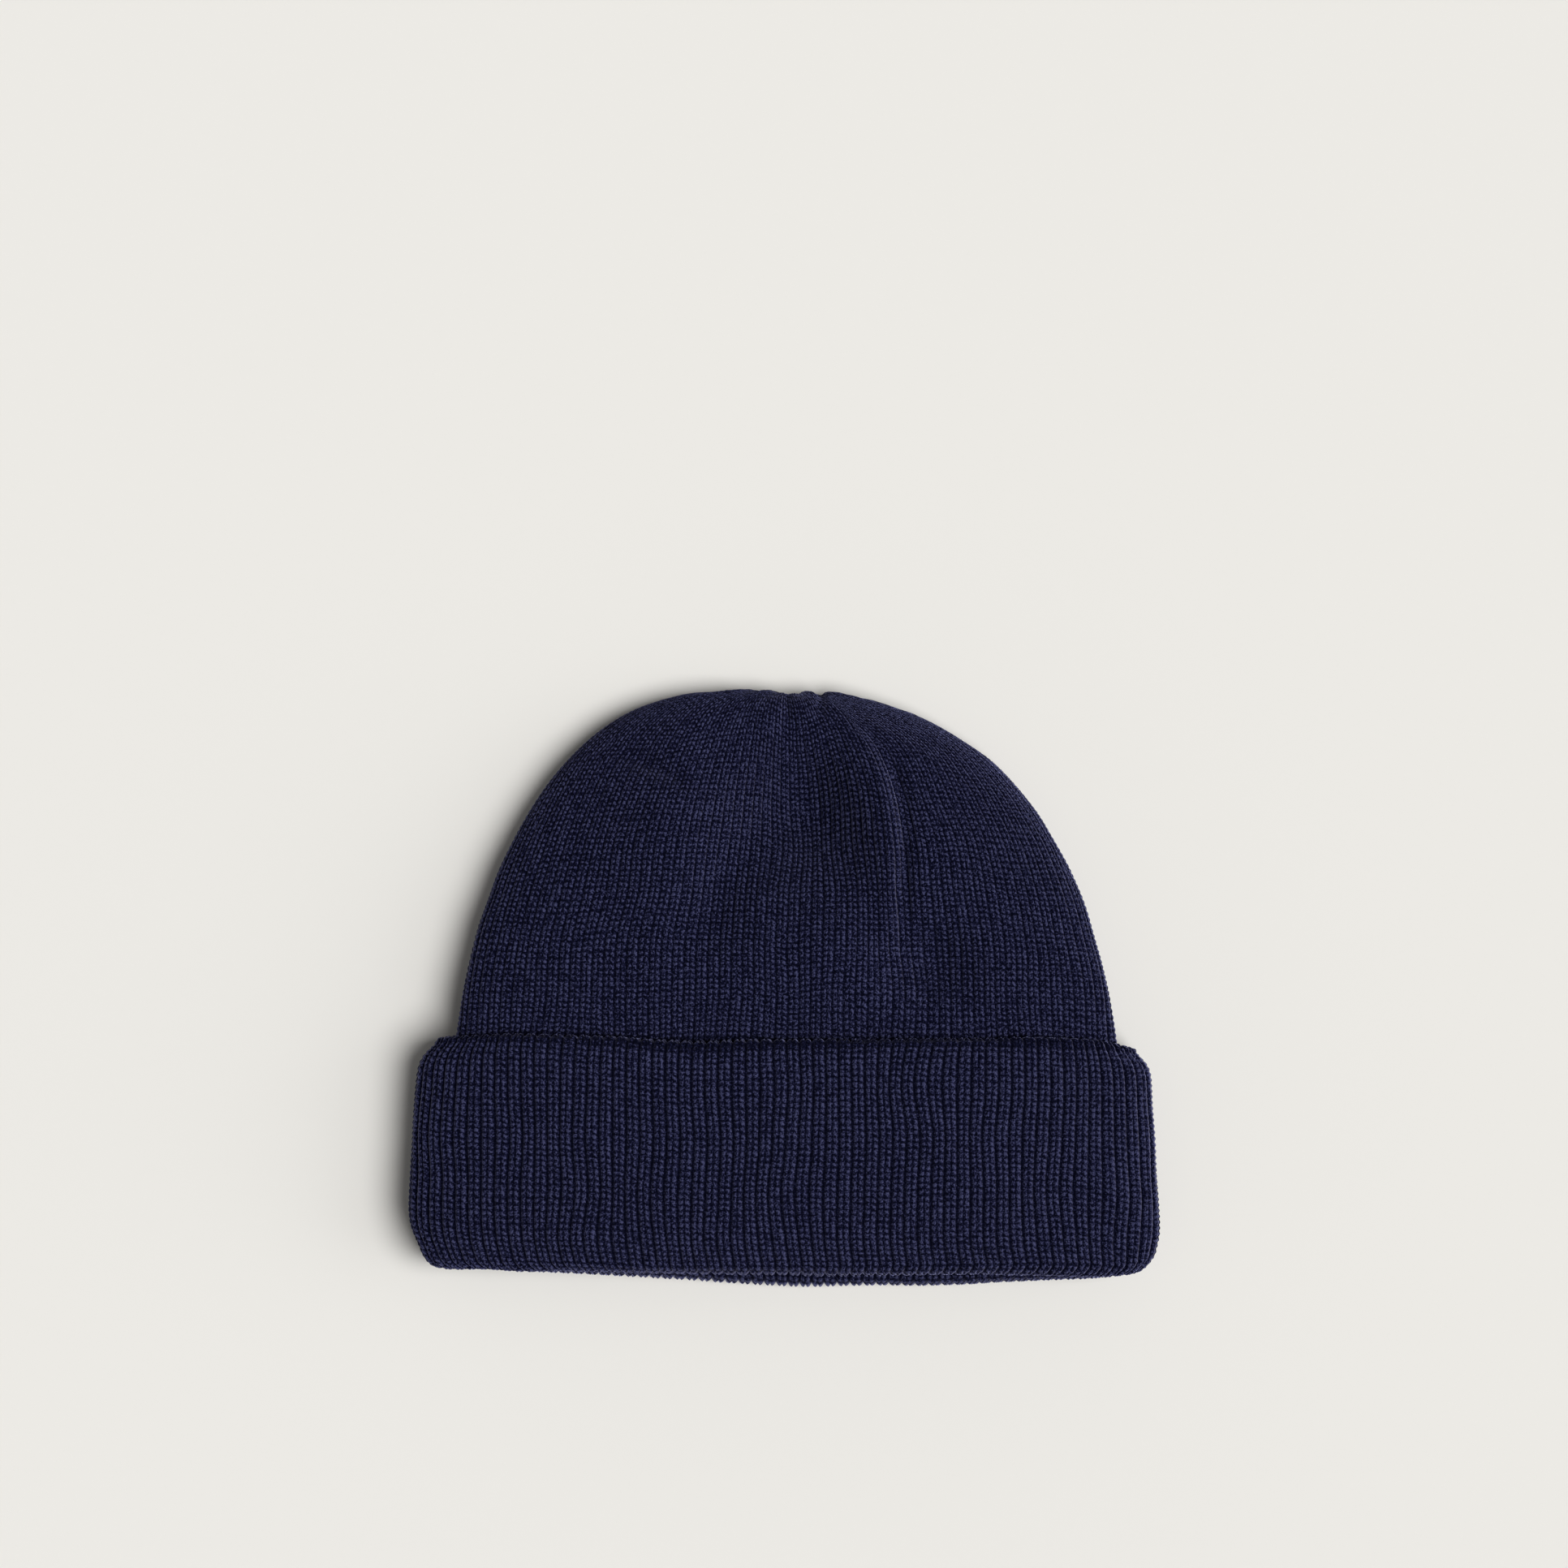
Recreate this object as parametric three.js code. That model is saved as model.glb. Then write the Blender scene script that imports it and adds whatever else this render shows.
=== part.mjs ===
// A knitted watch cap with a turned-up cuff, lying flat on its back as it does on a table.
// Millimetres, +X to the right, +Y towards the top of the crown, +Z up off the table.
// The origin is under the middle of the cap, on the table.
import * as THREE from "three";

// The cap's overall size, lying flat
const CAP_LENGTH = 183.4;
const CUFF_HEIGHT_LYING = 27.5;

// The fabric: a thick half-cardigan rib
const FABRIC = 3.0;
const GAP = 0.6;
const RIBS = 118;
const RIB_DEPTH = 0.9;
const RIBS_PRESSED = { from: -0.98, to: -0.6 };

// The crown's outline from above is a superellipse that leans a little to the left at its top
const CROWN_HALF_WIDTH = 103;
const CROWN_BASE_Y = -46;
const CROWN_TOP_Y = CAP_LENGTH / 2;
const CROWN_RISE = CROWN_TOP_Y - CROWN_BASE_Y;
const OUTLINE_POWERS = { across: 2.65, along: 2.2 };
const CROWN_LEAN = { foot: 0.9, top: -7, power: 6 };

// How the crown's two faces curve down to its rim, and how high that rim lies
const FRONT_ROUNDNESS = 2.4;
const BACK_ROUNDNESS = 5;
const RIM = { inCuff: 13.5, atTop: 7.5, from: -20, to: 80 };
const PRESSED_FLAT = 0.5;
const BACK_SETTLES = { from: -15, to: 5 };
const BULGE_OVER_CUFF = { from: -15.5, to: -6, height: 1.8 };

// The gather that closes the crown lies just over the top edge, on the back
const GATHER_TILT = THREE.MathUtils.degToRad(13);
const GATHER_TURN = THREE.MathUtils.degToRad(4.8);
const GATHER_PLEATS = { count: 15, depth: 1.4, reach: 0.26, fullFrom: 0.087, fadesAt: 0.08 };

// The cuff from its free edge at the top (at: 0) to the fold at the mouth (at: 1). The shift says
// how far right its middle lies.
const CUFF_SECTIONS = [
  { at: 0.0, halfWidth: 106.4, shift: -0.4, height: 26.4 },
  { at: 0.05, halfWidth: 110.2, shift: 0.4, height: 27.1 },
  { at: 0.12, halfWidth: 112.1, shift: 0, height: 27.4 },
  { at: 0.45, halfWidth: 113.7, shift: -0.2, height: CUFF_HEIGHT_LYING },
  { at: 0.76, halfWidth: 114.9, shift: -0.1, height: 27.0 },
  { at: 0.9, halfWidth: 114.3, shift: 0.5, height: 25.9 },
  { at: 1.0, halfWidth: 111.7, shift: 1.4, height: 23.8 },
];
const CUFF_ROUNDNESS = { front: 2.5, back: 6 };
const FOLD = 2 * FABRIC + GAP;
const HEM = 5;
const FREE_EDGE_ROUND = 1;
// How far up a loop's sides, as a sine, its back fold line passes over into its front one
const SIDE_BLEND = 0.5;

// The cuff's free edge seen from above: its level, and how much its two ends rise or drop
const FREE_EDGE = {
  level: -16.4,
  left: { rise: 1.6, from: 15, to: 107 },
  right: { drop: 4.5, from: 100, to: 114 },
};
// The folds of the cuff's front and back face at the mouth, seen from above, from left to right
const MOUTH_FOLDS = [
  { at: -116, front: -82.2, back: -82.7 },
  { at: -108, front: -85.7, back: -86.5 },
  { at: -92, front: -86.2, back: -86.7 },
  { at: -46, front: -87.0, back: -89.0 },
  { at: 0, front: -87.6, back: -91.5 },
  { at: 38, front: -87.8, back: -91.8 },
  { at: 80, front: -87.7, back: -90.4 },
  { at: 106, front: -87.4, back: -88.5 },
  { at: 116, front: -83.7, back: -84.2 },
];

// Soft hollows and swellings in the crown's front face, with how far each reaches to its left, to
// its right and along its turned axis. A negative height is a hollow.
const SOFT_FORMS = [
  { x: 5.5, y: 57.5, left: 24, right: 8.5, along: 19, turn: 24, height: -5.5 },
  { x: 27, y: 58, left: 7, right: 6, along: 18, turn: 10, height: 1.6 },
  { x: -21, y: 31, left: 9, right: 6.5, along: 15, turn: -18, height: -2.4 },
  { x: 42, y: 8, left: 15, right: 11, along: 12, turn: 20, height: -2.2 },
  { x: -36, y: 52, left: 14, right: 14, along: 18, turn: -10, height: 1.6 },
  { x: 12, y: 14, left: 11, right: 11, along: 9, turn: 0, height: 1.4 },
  { x: -6, y: 81, left: 4.5, right: 4.5, along: 5, turn: 0, height: 0.9 },
  { x: -41, y: 69, left: 3.2, right: 3.2, along: 13, turn: 67, height: -1.1 },
];
// Where soft forms fade out as the front face curves over into its rim
const FORMS_FACE = { from: 0.1, to: 0.6 };

// The dart: a narrow ridge that runs down from the gather, with a groove along its right side
const DART_PATH = [
  { x: 8.5, y: 91.7 },
  { x: 11.5, y: 87.5 },
  { x: 18.6, y: 80.3 },
  { x: 23.8, y: 74.2 },
  { x: 29.4, y: 65.6 },
  { x: 31.8, y: 57.8 },
  { x: 32.8, y: 48.8 },
  { x: 32.8, y: 38.8 },
  { x: 33.4, y: 26.8 },
];
const DART = { height: 1.9, halfWidth: 2.2, fadeIn: 16, fadeOut: 26 };
const DART_GROOVE = { depth: 1.3, halfWidth: 2.2, offset: 3.8 };
// Two creases where the gather's pleats cross the top edge
const CREASES = [
  { x: 1.4, halfWidth: 1.5, depth: 1.7 },
  { x: 11.6, halfWidth: 1.6, depth: 1.1 },
];
const CREASES_REACH = { from: 78, to: 88 };

// How finely the solids are faceted
const CROWN_COLUMNS = 82;
const CROWN_ROWS = { inCuff: 4, dome: 19, insideInCuff: 3, insideDome: 10 };
const CUFF_FOLD_ROWS = 4;
// Shares of the cuff where the loops on its inner face lie, besides its two ends
const CUFF_INSIDE_AT = [0.88, 0.66, 0.24];
const LOOP_SAMPLES = 720;
const SWELL_STEPS = 5;
const CLIMB_STEPS = 400;
const NO_REACH = 1e-9;
const KNIT_NAVY = "#1f2038";

const mix = (a, b, share) => a + (b - a) * share;

// Runs smoothly from 0 to 1 as value goes from one limit to the other
function ease(value, from, to) {
  const share = THREE.MathUtils.clamp((value - from) / (to - from), 0, 1);
  return share * share * (3 - 2 * share);
}

// The height of a face that is level in its middle and drops to 0 at its rim, where reach is 1
function faceProfile(reach, roundness) {
  return Math.max(0, 1 - Math.min(1, reach) ** roundness) ** (1 / roundness);
}

// Reads a table's column at a share of its length, on a smooth curve through the rows
function readTable(table, column, share) {
  const last = table.length - 2;
  let row = 0;
  while (row < last && table[row + 1].at < share) row += 1;
  const slope = (i) => {
    const before = table[Math.max(0, i - 1)];
    const after = table[Math.min(table.length - 1, i + 1)];
    return (after[column] - before[column]) / (after.at - before.at);
  };
  const start = table[row];
  const end = table[row + 1];
  const span = end.at - start.at;
  const t = (share - start.at) / span;
  const t2 = t * t;
  const t3 = t2 * t;
  return (
    start[column] * (2 * t3 - 3 * t2 + 1) +
    slope(row) * span * (t3 - 2 * t2 + t) +
    end[column] * (3 * t2 - 2 * t3) +
    slope(row + 1) * span * (t3 - t2)
  );
}

// Where the cuff's free edge lies, by how far right a point is
const freeEdgeY = (x) =>
  FREE_EDGE.level +
  FREE_EDGE.left.rise * ease(-x, FREE_EDGE.left.from, FREE_EDGE.left.to) -
  FREE_EDGE.right.drop * ease(x, FREE_EDGE.right.from, FREE_EDGE.right.to);

// How far a point at an angle round a loop belongs to the front: 0 on the back and 1 on the front
const frontShareAt = (angle) => ease(Math.sin(angle), -SIDE_BLEND, SIDE_BLEND);

// Where the cuff's fold at the mouth lies
const foldLineY = (x, frontShare) =>
  mix(readTable(MOUTH_FOLDS, "back", x), readTable(MOUTH_FOLDS, "front", x), frontShare);

// Resamples a closed loop of points so that they stand at equal distances along it
function spreadEvenly(loop, count) {
  const lengths = [0];
  loop.forEach((point, i) => {
    lengths.push(lengths[i] + point.distanceTo(loop[(i + 1) % loop.length]));
  });
  const total = lengths[loop.length];
  const spread = [];
  let i = 0;
  for (let k = 0; k < count; k += 1) {
    const target = (total * k) / count;
    while (lengths[i + 1] < target) i += 1;
    const share = (target - lengths[i]) / (lengths[i + 1] - lengths[i]);
    spread.push(loop[i].clone().lerp(loop[(i + 1) % loop.length], share));
  }
  return spread;
}

// A loop of points from the front's middle round by the right, evenly spread
function loopOf(pointAt, count) {
  const loop = [];
  for (let i = 0; i < LOOP_SAMPLES; i += 1) {
    loop.push(pointAt(Math.PI / 2 - (2 * Math.PI * i) / LOOP_SAMPLES));
  }
  return spreadEvenly(loop, count);
}

// How far down the cuff a point is: 0 or less at its free edge and 1 where its fold starts
const cuffShare = (x, y, frontShare) =>
  (freeEdgeY(x) - y) / (freeEdgeY(x) - foldLineY(x, frontShare) - FOLD / 2);

// How high the crown's front face, back face and rim lie at a point of it
function crownHeights(x, y, inset) {
  const share = THREE.MathUtils.clamp(cuffShare(x, y, 1), 0, 1);
  const cuffAbove = readTable(CUFF_SECTIONS, "height", share);
  const lifted = FABRIC + GAP;
  const bulge = BULGE_OVER_CUFF.height * ease(y, BULGE_OVER_CUFF.from, BULGE_OVER_CUFF.to);
  return {
    front: cuffAbove - lifted + bulge - inset,
    back: lifted * (1 - ease(y, BACK_SETTLES.from, BACK_SETTLES.to)) + inset,
    rim: mix(RIM.inCuff, RIM.atTop, ease(y, RIM.from, RIM.to)),
  };
}

const leanAt = (y) => {
  const up = Math.max(0, (y - CROWN_BASE_Y) / CROWN_RISE);
  return CROWN_LEAN.foot + CROWN_LEAN.top * up ** CROWN_LEAN.power;
};

// A point of the crown's face: reach is 0 in the face's middle and 1 at its rim
function facePoint(x, y, reach, isFront, inset) {
  const heights = crownHeights(x, y, inset);
  const z = isFront
    ? heights.rim + (heights.front - heights.rim) * faceProfile(reach, FRONT_ROUNDNESS)
    : heights.rim + (heights.back - heights.rim) * faceProfile(reach, BACK_ROUNDNESS);
  const pressed = inset > 0 ? z : Math.max(0, z - PRESSED_FLAT * (isFront ? 0 : 1));
  return new THREE.Vector3(x + leanAt(y), y, pressed);
}

// How far the crown's outline lies in a direction (c, s), where a plain ellipse would have 1
function outlineSwell(c, s) {
  const { across, along } = OUTLINE_POWERS;
  let swell = 1;
  for (let i = 0; i < SWELL_STEPS; i += 1) {
    const miss = (c * swell) ** across + (s * swell) ** along - 1;
    const slope = (across * (c * swell) ** across + along * (s * swell) ** along) / swell;
    swell -= miss / slope;
  }
  return swell;
}

// The straight tube of the crown inside the cuff
function tubePoint(angle, y, inset) {
  const sideways = Math.cos(angle);
  const halfWidth = CROWN_HALF_WIDTH - inset;
  const isFront = Math.sin(angle) >= 0;
  return facePoint(halfWidth * sideways, y, Math.abs(sideways), isFront, inset);
}

// The dome above it: loops that shrink round the gather, as circles do round a tilted pole.
// The climb is 0 at the dome's foot and 1 at the gather.
function domePoint(angle, climb, inset) {
  const radius = (Math.PI / 2) * (1 - climb);
  const tilt = GATHER_TILT * climb;
  const turn = GATHER_TURN * climb;
  const towardsPole = new THREE.Vector3(
    Math.sin(turn) * Math.cos(tilt),
    Math.cos(turn) * Math.cos(tilt),
    -Math.sin(tilt),
  );
  const right = new THREE.Vector3(Math.cos(turn), -Math.sin(turn), 0);
  const up = new THREE.Vector3().crossVectors(right, towardsPole);
  const direction = towardsPole
    .multiplyScalar(Math.cos(radius))
    .addScaledVector(right, Math.sin(radius) * Math.cos(angle))
    .addScaledVector(up, Math.sin(radius) * Math.sin(angle));
  const reach = Math.min(1, Math.hypot(direction.x, direction.y));
  const c = direction.x / Math.max(reach, NO_REACH);
  const s = direction.y / Math.max(reach, NO_REACH);
  const swell = outlineSwell(Math.abs(c), Math.abs(s));
  const x = direction.x * swell * (CROWN_HALF_WIDTH - inset);
  const y = CROWN_BASE_Y + direction.y * swell * (CROWN_RISE - inset);
  return facePoint(x, y, reach, direction.z >= 0, inset);
}

// The climbs that put the dome's rows at equal distances along its front
function evenClimbs(rows, inset) {
  const lengths = [0];
  let before = domePoint(Math.PI / 2, 0, inset);
  for (let i = 1; i <= CLIMB_STEPS; i += 1) {
    const here = domePoint(Math.PI / 2, i / CLIMB_STEPS, inset);
    lengths.push(lengths[i - 1] + here.distanceTo(before));
    before = here;
  }
  const climbs = [];
  for (let row = 1; row < rows; row += 1) {
    const target = (lengths[CLIMB_STEPS] * row) / rows;
    climbs.push(lengths.findIndex((length) => length >= target) / CLIMB_STEPS);
  }
  return climbs;
}

function formHeight(x, y, form) {
  const turn = THREE.MathUtils.degToRad(form.turn);
  const across = (x - form.x) * Math.cos(turn) + (y - form.y) * Math.sin(turn);
  const along = (y - form.y) * Math.cos(turn) - (x - form.x) * Math.sin(turn);
  const reach = across < 0 ? form.left : form.right;
  return form.height * Math.exp(-((across / reach) ** 2) - (along / form.along) ** 2);
}

// The dart's relief by the distance from its path, which is negative to its left
function dartHeight(x, y) {
  let nearest = Infinity;
  let side = 1;
  let travelled = 0;
  let travelledToNearest = 0;
  for (let i = 0; i + 1 < DART_PATH.length; i += 1) {
    const from = DART_PATH[i];
    const dx = DART_PATH[i + 1].x - from.x;
    const dy = DART_PATH[i + 1].y - from.y;
    const length = Math.hypot(dx, dy);
    const along = ((x - from.x) * dx + (y - from.y) * dy) / length ** 2;
    const share = THREE.MathUtils.clamp(along, 0, 1);
    const distance = Math.hypot(x - from.x - dx * share, y - from.y - dy * share);
    if (distance < nearest) {
      nearest = distance;
      side = Math.sign(dx * (y - from.y) - dy * (x - from.x));
      travelledToNearest = travelled + length * share;
    }
    travelled += length;
  }
  const fade =
    ease(travelledToNearest, 0, DART.fadeIn) *
    ease(travelled - travelledToNearest, 0, DART.fadeOut);
  const fromGroove = nearest * side - DART_GROOVE.offset;
  const ridge = DART.height * Math.exp(-((nearest / DART.halfWidth) ** 2));
  const groove = DART_GROOVE.depth * Math.exp(-((fromGroove / DART_GROOVE.halfWidth) ** 2));
  return fade * (ridge - groove);
}

// How far the fabric stands in or out at a point of the crown, along its normal
function crownRelief(point, normal, climb, around) {
  const onFront = ease(normal.z, FORMS_FACE.from, FORMS_FACE.to);
  let relief = 0;
  for (const form of SOFT_FORMS) relief += onFront * formHeight(point.x, point.y, form);
  relief += onFront * dartHeight(point.x, point.y);
  const atTopEdge = ease(point.y, CREASES_REACH.from, CREASES_REACH.to);
  for (const crease of CREASES) {
    relief -= atTopEdge * crease.depth * Math.exp(-(((point.x - crease.x) / crease.halfWidth) ** 2));
  }
  const nearGather =
    ease(climb, 1 - GATHER_PLEATS.reach, 1 - GATHER_PLEATS.fullFrom) *
    ease(1 - climb, 0, GATHER_PLEATS.fadesAt);
  const pleat = 0.5 - 0.5 * Math.cos(2 * Math.PI * GATHER_PLEATS.count * around);
  relief -= nearGather * GATHER_PLEATS.depth * pleat;
  return relief;
}

// The outward normal of a grid of loops at one of its points
function gridNormal(rows, i, j) {
  const count = rows[i].length;
  const up = rows[Math.min(rows.length - 1, i + 1)][j]
    .clone()
    .sub(rows[Math.max(0, i - 1)][j]);
  const round = rows[i][(j + 1) % count].clone().sub(rows[i][(j + count - 1) % count]);
  return round.cross(up).normalize();
}

// The crown's surface as loops from its lower edge up to the gather
function crownLoops(inset, tubeRows, domeRows, columns) {
  const climbs = [];
  const rows = [];
  for (let i = 0; i < tubeRows; i += 1) {
    const share = i / tubeRows;
    const at = (angle) => {
      const x = CROWN_HALF_WIDTH * Math.cos(angle);
      const foot = foldLineY(x, frontShareAt(angle)) + FOLD / 2 + HEM + GAP;
      return tubePoint(angle, mix(foot, CROWN_BASE_Y, share), inset);
    };
    rows.push(loopOf(at, columns));
    climbs.push(0);
  }
  for (const climb of [0, ...evenClimbs(domeRows, inset)]) {
    rows.push(loopOf((angle) => domePoint(angle, climb, inset), columns));
    climbs.push(climb);
  }
  const relieved = rows.map((row, i) =>
    row.map((point, j) => {
      const normal = gridNormal(rows, i, j);
      const moved = crownRelief(point, normal, climbs[i], j / columns);
      const at = point.clone().addScaledVector(normal, moved);
      at.z = Math.max(at.z, inset);
      return at;
    }),
  );
  return { loops: relieved, pole: domePoint(Math.PI / 2, 1, inset) };
}

// Collects loops of points and the faces between them into one closed mesh
class ShellBuilder {
  constructor() {
    this.positions = [];
    this.indices = [];
  }

  addPoint(point) {
    this.positions.push(point.x, point.y, point.z);
    return this.positions.length / 3 - 1;
  }

  addLoop(points) {
    return points.map((point) => this.addPoint(point));
  }

  // Joins two loops. The first may have a whole number of times the points of the second.
  joinLoops(fine, coarse) {
    const ratio = fine.length / coarse.length;
    coarse.forEach((here, j) => {
      const next = coarse[(j + 1) % coarse.length];
      const turnAt = Math.ceil(ratio / 2);
      for (let k = 0; k < ratio; k += 1) {
        const from = fine[j * ratio + k];
        const to = fine[(j * ratio + k + 1) % fine.length];
        this.indices.push(from, to, k < turnAt ? here : next);
        if (k === turnAt - 1) this.indices.push(to, next, here);
      }
    });
  }

  // The same join with the faces turned the other way, when the second loop is the finer
  joinLoopsBack(coarse, fine) {
    const start = this.indices.length;
    this.joinLoops(fine, coarse);
    for (let i = start; i < this.indices.length; i += 3) {
      [this.indices[i + 1], this.indices[i + 2]] = [this.indices[i + 2], this.indices[i + 1]];
    }
  }

  closeAtPoint(loop, point, turned) {
    const tip = this.addPoint(point);
    loop.forEach((here, j) => {
      const next = loop[(j + 1) % loop.length];
      if (turned) this.indices.push(next, here, tip);
      else this.indices.push(here, next, tip);
    });
  }

  geometry() {
    const geometry = new THREE.BufferGeometry();
    geometry.setAttribute("position", new THREE.Float32BufferAttribute(this.positions, 3));
    geometry.setIndex(this.indices);
    geometry.computeVertexNormals();
    return geometry;
  }
}

// The crown: one wall of fabric, from the inside of the cuff up to the gather
function crownGeometry() {
  const shell = new ShellBuilder();
  const outside = crownLoops(0, CROWN_ROWS.inCuff, CROWN_ROWS.dome, CROWN_COLUMNS);
  const inside = crownLoops(
    FABRIC,
    CROWN_ROWS.insideInCuff,
    CROWN_ROWS.insideDome,
    CROWN_COLUMNS / 2,
  );
  const outer = outside.loops.map((loop) => shell.addLoop(loop));
  const inner = inside.loops.map((loop) => shell.addLoop(loop));
  for (let i = 0; i + 1 < outer.length; i += 1) shell.joinLoops(outer[i], outer[i + 1]);
  for (let i = 0; i + 1 < inner.length; i += 1) shell.joinLoopsBack(inner[i + 1], inner[i]);
  shell.joinLoopsBack(inner[0], outer[0]);
  shell.closeAtPoint(outer.at(-1), outside.pole, false);
  shell.closeAtPoint(inner.at(-1), inside.pole, true);
  return shell.geometry();
}

// A point of the cuff: its section's outline, set in by a depth into the fabric's layers
function cuffPoint(angle, share, depth, pastFold) {
  const sideways = Math.cos(angle);
  const isFront = Math.sin(angle) >= 0;
  const halfWidth = readTable(CUFF_SECTIONS, "halfWidth", share) - depth;
  const top = readTable(CUFF_SECTIONS, "height", share) - depth;
  const bottom = depth;
  const rim = RIM.inCuff;
  const reach = Math.abs(sideways);
  const z = isFront
    ? rim + (top - rim) * faceProfile(reach, CUFF_ROUNDNESS.front)
    : rim + (bottom - rim) * faceProfile(reach, CUFF_ROUNDNESS.back);
  const x = readTable(CUFF_SECTIONS, "shift", share) + halfWidth * sideways;
  const straightTo = foldLineY(x, frontShareAt(angle)) + FOLD / 2;
  const y = mix(freeEdgeY(x), straightTo, share) - pastFold;
  const pressed = depth > 0 || isFront ? z : Math.max(0, z - PRESSED_FLAT);
  return new THREE.Vector3(x, y, pressed);
}

const plainCuffLoop = (share, depth, pastFold) =>
  loopOf((angle) => cuffPoint(angle, share, depth, pastFold), RIBS);

// One loop with a groove beside each rib. The turn is 0 on the outer face, and grows to half a
// circle round the fold. The table presses the ribs flat under the cap.
function ribbedCuffLoop(share, turn) {
  const depth = (FOLD / 2) * (1 - Math.cos(turn));
  const pastFold = (FOLD / 2) * Math.sin(turn);
  const loop = loopOf((angle) => cuffPoint(angle, share, depth, pastFold), 2 * RIBS);
  return loop.map((point, j) => {
    const next = loop[(j + 1) % loop.length];
    const before = loop[(j + loop.length - 1) % loop.length];
    const outward = new THREE.Vector3(before.z - next.z, 0, next.x - before.x).normalize();
    const groove = j % 2 === 1 ? RIB_DEPTH : 0;
    const free = ease(outward.z, RIBS_PRESSED.from, RIBS_PRESSED.to);
    const ribbed = point.clone().addScaledVector(outward, -groove * free * Math.cos(turn));
    ribbed.y += groove * Math.sin(turn);
    ribbed.z = Math.max(0, ribbed.z);
    return ribbed;
  });
}

// The cuff: the outer face, round the fold at the mouth, and a hem that meets the crown
function cuffGeometry() {
  const shell = new ShellBuilder();
  const ribbed = (share, turn) => shell.addLoop(ribbedCuffLoop(share, turn));
  const plain = (share, depth, pastFold) =>
    shell.addLoop(plainCuffLoop(share, depth, pastFold));

  const outer = CUFF_SECTIONS.map((section) => ribbed(section.at, 0));
  for (let i = 1; i < CUFF_FOLD_ROWS; i += 1) outer.push(ribbed(1, (Math.PI * i) / CUFF_FOLD_ROWS));
  const hemOutside = FOLD - FABRIC;
  const rest = [plain(1, FOLD, 0), plain(1, FOLD, -HEM), plain(1, hemOutside, -HEM)];
  rest.push(plain(1, hemOutside, 0), plain(1, FABRIC, 0));
  for (const share of [...CUFF_INSIDE_AT, 0]) rest.push(plain(share, FABRIC, 0));
  rest.push(plain(0, FABRIC / 2, -FREE_EDGE_ROUND));

  for (let i = 0; i + 1 < outer.length; i += 1) shell.joinLoops(outer[i + 1], outer[i]);
  shell.joinLoops(outer[0], rest.at(-1));
  for (let i = 0; i + 1 < rest.length; i += 1) shell.joinLoops(rest[i + 1], rest[i]);
  shell.joinLoopsBack(rest[0], outer.at(-1));
  return shell.geometry();
}

const knit = new THREE.MeshStandardMaterial({ color: KNIT_NAVY, roughness: 0.9, metalness: 0 });

const crown = new THREE.Mesh(crownGeometry(), knit.clone());
crown.name = "crown";
const cuff = new THREE.Mesh(cuffGeometry(), knit.clone());
cuff.name = "cuff";

const cap = new THREE.Group();
cap.add(crown, cuff);
export default cap;
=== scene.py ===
import math

import bpy
import numpy as np
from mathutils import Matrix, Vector


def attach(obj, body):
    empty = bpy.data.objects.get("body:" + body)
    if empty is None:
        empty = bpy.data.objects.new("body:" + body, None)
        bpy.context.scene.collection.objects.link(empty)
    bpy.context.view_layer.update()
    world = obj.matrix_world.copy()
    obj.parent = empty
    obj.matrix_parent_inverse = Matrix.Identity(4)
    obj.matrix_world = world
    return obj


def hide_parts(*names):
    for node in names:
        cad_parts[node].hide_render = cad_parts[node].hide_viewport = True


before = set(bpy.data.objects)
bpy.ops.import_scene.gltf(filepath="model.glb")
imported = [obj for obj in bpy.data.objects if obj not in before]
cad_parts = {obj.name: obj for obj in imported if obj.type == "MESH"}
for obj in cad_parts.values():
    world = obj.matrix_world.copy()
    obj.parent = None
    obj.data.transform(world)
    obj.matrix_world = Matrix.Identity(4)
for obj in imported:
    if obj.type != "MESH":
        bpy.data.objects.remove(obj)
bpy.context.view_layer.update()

MM = 0.001

# The cap's overall sizes, as the solids have them
CAP_LENGTH = 183.4
FABRIC = 3.0
GAP = 0.6
RIBS = 118
HALF_WIDTH = 103.0
BASE_Y = -46.0
RISE = CAP_LENGTH / 2 - BASE_Y
OUTLINE_POWERS = (2.6, 2.05)
SWELL_STEPS = 5
LEAN_FOOT, LEAN_TOP, LEAN_POWER = 0.9, -7.0, 6
CROWN_ROUNDNESS = {"front": 2.4, "back": 5}
CUFF_ROUNDNESS = {"front": 2.2, "back": 6}
RIM_IN_CUFF, RIM_AT_TOP = 13.5, 7.5
RIM_FROM, RIM_TO = -20, 80
PRESSED_FLAT = 0.5
BACK_SETTLES = (-15, 5)
BULGE, BULGE_FROM, BULGE_TO = 2.0, -15.5, -3
TUCK_DEPTH, TUCK_OFFSET, TUCK_HALF_WIDTH = 1.2, 0.3, 2.4
GATHER_TILT = math.radians(13)
GATHER_TURN = math.radians(4.8)
PLEATS, PLEAT_DEPTH = 15, 1.4
PLEATS_FROM, PLEATS_FULL, PLEATS_FADE = 0.74, 0.913, 0.08
FOLD = 2 * FABRIC + GAP
HEM = 5.0
CORNER_SLOPE = 0.5
SIDE_BLEND = 0.5
LOOP_SAMPLES = 2160

# The cuff from its free edge (share 0) to where its fold starts (share 1)
CUFF = np.array([
    # share, half width, shift to the right, height
    (0.00, 107.5, 1.0, 26.0),
    (0.05, 110.9, 0.7, 27.1),
    (0.12, 112.4, 0.5, 27.4),
    (0.45, 113.7, 0.3, 27.5),
    (0.76, 115.0, 0.1, 27.0),
    (0.90, 114.9, 0.4, 25.9),
    (1.00, 112.7, 1.4, 23.8),
])
WIDE, SHIFT, HIGH = 1, 2, 3
# The face's ribs run straight, and only its two ends draw in by the table's half widths
CUFF_FACE_SHARE = 0.45
CUFF_FACE_HALF = 113.7
END_POWER = 6

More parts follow.
